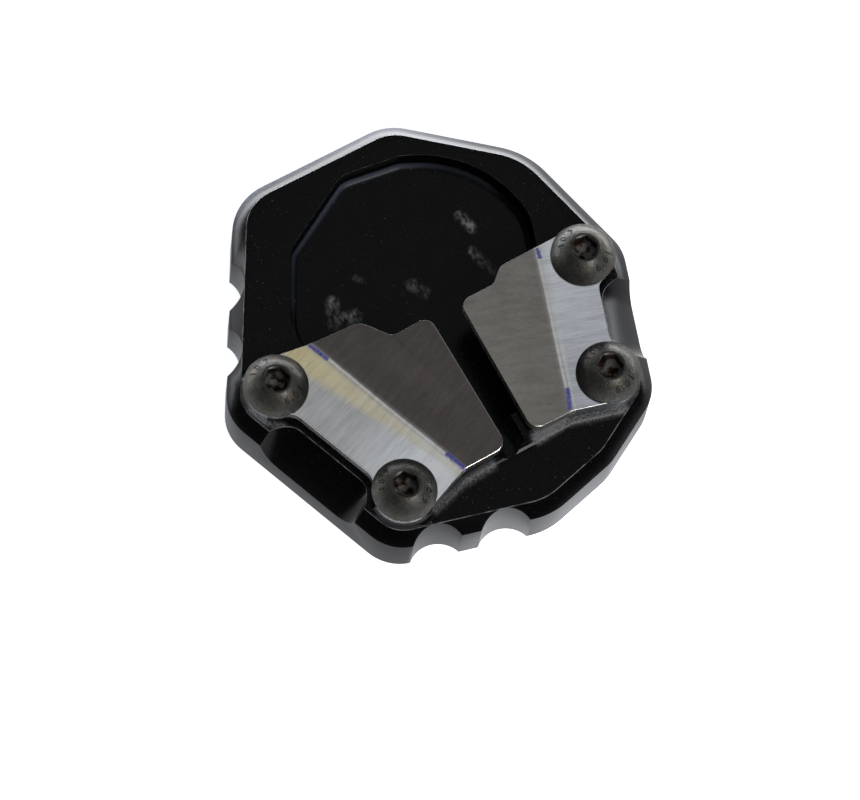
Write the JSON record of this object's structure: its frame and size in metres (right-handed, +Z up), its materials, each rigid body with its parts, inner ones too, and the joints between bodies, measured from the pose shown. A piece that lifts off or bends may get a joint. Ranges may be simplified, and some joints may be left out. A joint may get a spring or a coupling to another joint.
{
  "type": "kickstand foot enlarger",
  "caption": "Wide black foot for a motorbike side stand: a chamfered base with a pocket, clamped round the stand foot by bent plates and button head screws.",
  "frame": {"origin": "on the axis of the slot between the tongues, in the plane of the underside", "axes": "+X to the right across the slot, +Y along the slot to the open end of the pocket, +Z up out of the ground"},
  "size_m": [0.0928, 0.0941, 0.0225],
  "materials": {
    "base_black": "black anodised aluminium",
    "plate_metal": "brushed sheet metal",
    "screw_dark": "dark oxide"
  },
  "bodies": {
    "root": {"base": "base_black", "left_clamp_plate": "plate_metal", "right_clamp_plate": "plate_metal", "clamp_screws": "screw_dark"}
  },
  "joints": []
}
